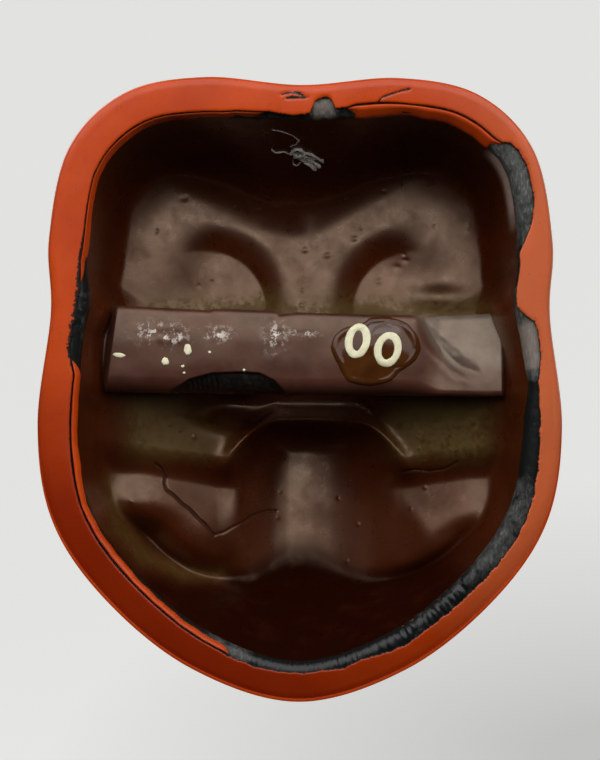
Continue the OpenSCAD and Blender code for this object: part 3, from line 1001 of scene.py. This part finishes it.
def make_lining():
    """Brown lining of the hollow with its carving, cracks, pimples and drops."""
    rays = Rays(760)
    rings, pimples = 250, 70
    radius = ring_shares(rings, 1.5)[:, None] * rays.radius(rays.hollow_edge)
    x, z = rays.flat(radius)
    crack = np.max([stroke(-x, z, path, width) for path, width in CRACKS], 0)
    depth = hollow_depth(rays, radius) + 0.015 * ripple(x, z, 2.8, 7) + 0.16 * crack
    rng = np.random.default_rng(5)
    for _ in range(pimples):
        pimple = (rng.uniform(-12, 12), rng.uniform(-18, 13), 0.11, 0.11, rng.uniform(0.03, 0.07))
        depth = depth - bump(-x, z, pimple)
    for drop_u, drop_z in LACQUER_DROPS:
        depth = depth - bump(-x, z, (drop_u, drop_z, 0.24, 0.18, 0.045))
    hollow = rays.points(radius, depth)[::-1]
    under_rim = ((0.3, 2.1), (0.23, 1.2), (0.15, 0.85))
    edge = [rays.ring(rays.hollow_edge - back, deep) for back, deep in under_rim]
    outer = np.vstack([joint_rings(rays, -0.2), edge])
    middle = rays.points(0 * rays.reach, hollow_depth(rays, radius * 0)[:1])[0, :1]
    points = join(outer[0].mean(0), outer, hollow, middle)
    hidden = np.zeros(1 + len(outer) * rays.count)
    marks = {"crack": crack, **lining_marks(rays, radius)}
    marks = {name: np.concatenate([hidden, share[::-1].ravel(), [0]]) for name, share in marks.items()}
    faces = skin_faces(len(outer) + rings, rays.count)
    add_mesh("hollow_lining", points, faces, brown_lacquer(), ["inner_lining"], "brown_lacquer", **marks)


def make_bar():
    """Bar of loops, each with a finely divided front, two sides and a back."""
    side_steps = 8
    across = np.linspace(-1, 1, 130)
    along = np.linspace(-BAR_END, BAR_END, 560)
    u, v = np.meshgrid(along, across, indexing="ij")
    top, low = bar_edges(u)
    z = np.where(v > 0, v * top, -v * low)
    y = bar_front(u, z)
    top, low = top[:, :1], low[:, :1]
    down = np.linspace(0, 1, side_steps + 1)[1:]
    top_side = y[:, -1:] + (BAR_BACK - y[:, -1:]) * down
    low_side = (y[:, :1] + (BAR_BACK - y[:, :1]) * down)[:, ::-1]
    back = np.linspace(1, -1, side_steps + 2)[1:-1]
    back_z = np.where(back > 0, back * top, -back * low)
    z_loop = np.hstack([z, np.repeat(top, side_steps, 1), back_z, np.repeat(low, side_steps, 1)])
    y_loop = np.hstack([y, top_side, np.full(back_z.shape, BAR_BACK), low_side])
    n = z_loop.shape[1]
    u_loop = np.repeat(along[:, None], n, 1)
    points = join(np.stack([-u_loop, y_loop, z_loop], -1))
    front = np.arange(n) < len(across)
    chip, _ = bar_chip(u_loop, z_loop)
    # Bare black core in the broken place, and painted shade along the dent across the right end
    bare = clamp(chip + 0.4 * bar_fold(u_loop, z_loop) ** 2) * (y_loop > BAR_BACK + 0.3)
    # Painted sheen over the upper right end of the bar
    dull = smooth((u_loop - 9 + 0.6 * z_loop) / 1.2) * smooth((z_loop + 1.6) / 1.6) * front
    # Scuffed places, painted silver partly as glints
    scuff = bar_scuffs(u_loop, z_loop) * front
    faces = tube_faces(len(along), n, closed=False)
    add_mesh("cord_bar", lean(points), faces, bar_lacquer(), ["bar_core", "bar_coat"], "brown_lacquer",
             scuff=scuff, bare=bare, dull=dull)


def make_pad():
    """Pad of clear varnish on the front of the bar, sunk a little into it."""
    n, rings, under_step, sunk = 240, 60, 10, 0.08
    turn = full_turn(n)
    reach = np.sin(np.linspace(0, np.pi / 2, rings + 1)[1:])[:, None] * pad_reach(turn)
    u = PAD_MIDDLE[0] + reach * np.cos(turn)
    z = PAD_MIDDLE[1] + reach * np.sin(turn)
    front = bar_front(u, z)
    top = np.stack([-u, front + pad_rise(u, z), z], -1)
    under = np.stack([-u, front - sunk, z], -1)[::-under_step]
    u0, z0 = PAD_MIDDLE
    tip, under_tip = ((-u0, bar_front(u0, z0) + rise, z0) for rise in (pad_rise(u0, z0), -sunk))
    points = join(tip, top, under, under_tip)
    faces = skin_faces(rings + len(under), n)
    add_mesh("varnish_pad", lean(points), faces, clear_varnish(), ["varnish_patch"], "clear_varnish")


# Painted rings and flecks of paint, as (u, z, half width, half height)
RINGS = [(3.9, 0.85, 0.86, 1.2), (5.95, 0.3, 0.94, 1.2)]
FLECKS = [
    (-7.64, 0, 0.26, 0.38), (-9.15, -0.83, 0.24, 0.27), (-12.3, -0.48, 0.42, 0.17),
    (-7.97, -1.14, 0.11, 0.1), (-7.87, -1.58, 0.09, 0.08), (-6.16, -0.14, 0.14, 0.08),
    (-3.8, -1.3, 0.1, 0.09),
]


def make_rings():
    pen, height, slant = 0.26, 0.06, 0.12
    n, m = 140, 14
    turn, roll = np.meshgrid(full_turn(n), full_turn(m), indexing="ij")
    points, faces = [], []
    for k, (u0, z0, wide, tall) in enumerate(RINGS):
        width = pen * (1 + 0.07 * ripple(3 * np.cos(turn) + k, 3 * np.sin(turn), 3, 51))
        du = (wide - pen + width * np.cos(roll)) * np.cos(turn)
        dz = (tall - pen + width * np.cos(roll)) * np.sin(turn)
        u, z = u0 + du + slant * dz, z0 + dz
        y = bar_front(u, z) + pad_rise(u, z) + height * np.sin(roll)
        points.append(np.stack([-u, y, z], -1))
        faces += tube_faces(n, m, k * n * m)
    add_mesh("painted_rings", lean(join(*points)), faces, CREAM_LOOK)


def make_flecks():
    n = 18
    top, sunk = 0.07, 0.08
    section = ((0.5, 0.065), (0.85, 0.05), (1, 0.02), (0.9, -0.06))
    turn = full_turn(n)
    points, faces = [], []
    for k, (u0, z0, wide, tall) in enumerate(FLECKS):
        jag = 1 + 0.22 * ripple(4 * np.cos(turn) + 9 * k, 4 * np.sin(turn), 5, 60)
        rows = [(-u0, bar_front(u0, z0) + top, z0)]
        for share, rise in section:
            u = u0 + wide * share * jag * np.cos(turn)
            z = z0 + tall * share * jag * np.sin(turn)
            rows.append(np.stack([-u, bar_front(u, z) + rise, z], -1))
        rows.append((-u0, bar_front(u0, z0) - sunk, z0))
        faces += skin_faces(len(section), n, sum(map(len, points)))
        points.append(join(*rows))
    add_mesh("paint_flecks", lean(join(*points)), faces, CREAM_LOOK)


# Fibres of the lint caught in the hollow, as (u, z) points and a thickness at each end
LINT = [
    ([(-1.95, 15.1), (-1.3, 15), (-0.5, 14.75), (-0.15, 14.5), (-0.4, 14.3), (-0.75, 14.2)],
     0.022, 0.03),
    ([(-2.1, 14.05), (-1.75, 13.85), (-1.2, 13.9), (-0.75, 13.75), (-0.2, 13.85)], 0.04, 0.06),
    ([(-0.7, 13.75), (-0.45, 14.05), (0, 14), (0.2, 13.75), (-0.15, 13.6), (-0.5, 13.75)], 0.1, 0.13),
    ([(-0.15, 13.5), (0.3, 13.35), (0.6, 13.2), (0.92, 13.05)], 0.05, 0.15),
    ([(0.2, 13.85), (0.7, 13.75), (1.1, 13.55), (1.6, 13.3)], 0.09, 0.07),
    ([(-0.55, 13.45), (-0.6, 13.2), (-0.3, 13.1), (-0.05, 13.3)], 0.025, 0.04),
    ([(0, 13.55), (0.5, 13.45), (0.9, 13.3), (1.3, 13.05)], 0.12, 0.1),
    ([(0.3, 13.3), (0.7, 13.12), (1, 12.9)], 0.1, 0.16),
    ([(-0.45, 13.6), (0, 13.75), (0.35, 13.6)], 0.12, 0.12),
    ([(0.5, 13.6), (0.9, 13.5), (1.5, 13.45)], 0.07, 0.05),
]


def make_lint():
    rays = Rays(720)
    n, m, clear = 40, 10, 0.05
    roll = full_turn(m)[:, None]
    points, faces = [], []
    for k, (path, first, last) in enumerate(LINT):
        at = np.linspace(0, len(path) - 1, n)
        u, z = (np.interp(at, range(len(path)), places) for places in np.array(path).T)
        line = np.array([hollow_point(rays, *place) for place in zip(u, z)])
        thick = np.linspace(first, last, n) * (1 + 0.3 * ripple(at, 0 * at + k, 1.1, 71))
        line[:, 1] += thick + clear
        along = np.gradient(line, axis=0)
        side = unit(np.cross(along, (0, 1, 0)))
        lift = unit(np.cross(side, along))
        round_line = side[:, None] * np.cos(roll) + lift[:, None] * np.sin(roll)
        loops = line[:, None] + thick[:, None, None] * round_line
        faces += tube_faces(n, m, k * n * m, closed=False)
        points.append(loops)
    add_mesh("lint_fibres", join(*points), faces, lint())


make_shell()
make_rim()
make_ground()
make_lip()
make_lining()
make_bar()
make_pad()
make_rings()
make_flecks()
make_lint()


# Studio, in metres

# Panels as name, place, size, brightness of their face, and whether the lacquer mirrors them
WINDOW = (-0.004, 0.07, 0.092)
LIGHTS = [
    ("window_wide", WINDOW, (0.29, 0.12), 1.55, True),
    ("window_middle", WINDOW, (0.21, 0.085), 1.55, True),
    ("window_core", WINDOW, (0.13, 0.05), 1.55, True),
    ("sky_behind", (-0.02, 0.29, 0.13), (0.3, 0.12), 1.35, True),
    ("right_behind", (-0.16, 0.14, 0.06), (0.11, 0.14), 2, False),
    ("left_behind", (0.15, 0.12, 0.09), (0.12, 0.14), 2.3, False),
    ("camera_fill", (0.03, 0.3, 0.02), (0.12, 0.12), 0.8, False),
    ("key_face", (0.2, -0.22, 0.2), (0.26, 0.26), 2.6, True),
    ("fill_face", (-0.26, -0.2, 0.04), (0.2, 0.3), 1, True),
]


def make_studio():
    """A pale floor that curves up into a round wall, glowing evenly but for a painted soft shadow behind
    the mask.
    """
    turns, steps, caps = 96, 14, 2
    floor_z, floor_reach, corner, wall_top = -0.1, 0.45, 0.25, 0.9
    shadow_middle = (-0.085, -0.48, -0.098)
    profile = [(floor_reach, floor_z)]
    for a in np.linspace(0.1, np.pi / 2, steps):
        profile.append((floor_reach + corner * np.sin(a), floor_z + corner - corner * np.cos(a)))
    profile.append((floor_reach + corner, wall_top))
    points = [(r * np.cos(t), r * np.sin(t), z) for r, z in profile for t in full_turn(turns)]
    points.append((0, 0, floor_z))
    faces = tube_faces(len(profile), turns, closed=False)[:-caps]
    faces += [(len(points) - 1, (a + 1) % turns, a) for a in range(turns)]
    mesh = bpy.data.meshes.new("studio")
    mesh.from_pydata(points, [], faces)
    mesh.shade_smooth()
    look = Look("pale_studio")
    # The glow is weaker near one point: a painted soft shadow behind the mask
    away = look.node("ShaderNodeVectorMath", {0: look.place, 1: shadow_middle}, operation="DISTANCE")
    look.set(Base_Color=(0.5, 0.5, 0.49, 1), Roughness=0.9, Emission_Color=(1, 1, 0.975, 1),
             Emission_Strength=look.ramp(away.outputs["Value"], 0.02, 0.15, 0.47, 0.72))
    mesh.materials.append(look.material)
    studio = add_object("studio", mesh)
    studio.visible_glossy = False
    studio.visible_diffuse = False


def make_lights():
    """Dim surroundings, and soft panels that face the mask."""
    world = bpy.data.worlds.new("soft_room")
    world.use_nodes = True
    background = world.node_tree.nodes["Background"]
    background.inputs["Color"].default_value = (1, 0.98, 0.95, 1)
    background.inputs["Strength"].default_value = 0.015
    bpy.context.scene.world = world
    for name, place, size, glow, mirrored in LIGHTS:
        data = bpy.data.lights.new(name, "AREA")
        data.shape = "RECTANGLE"
        data.size, data.size_y = size
        data.energy = glow * np.pi * size[0] * size[1]
        light = add_object(name, data)
        light.location = place
        light.rotation_euler = (-Vector(place)).to_track_quat("-Z", "Y").to_euler()
        light.visible_camera = False
        light.visible_glossy = mirrored


def make_camera():
    """Straight on to the hollow back, at the size and place that the mask has in the picture."""
    picture_height, mask_pixels = 760, 626
    mask_height, mask_middle = 0.0419, -0.0019
    sensor, distance, tilt = 36, 0.17, 0.3
    data = bpy.data.cameras.new("camera")
    data.sensor_width = sensor
    data.lens = sensor * distance / (mask_height * picture_height / mask_pixels)
    data.clip_start = 0.01
    camera = add_object("camera", data)
    camera.location = (0, RIM_Y * MM + distance, mask_middle)
    straight = Vector((0, -1, 0)).to_track_quat("-Z", "Y")
    camera.rotation_euler = (straight @ Quaternion((0, 0, 1), np.radians(tilt))).to_euler()
    bpy.context.scene.camera = camera


make_studio()
make_lights()
make_camera()
bpy.context.scene.view_settings.view_transform = "Standard"
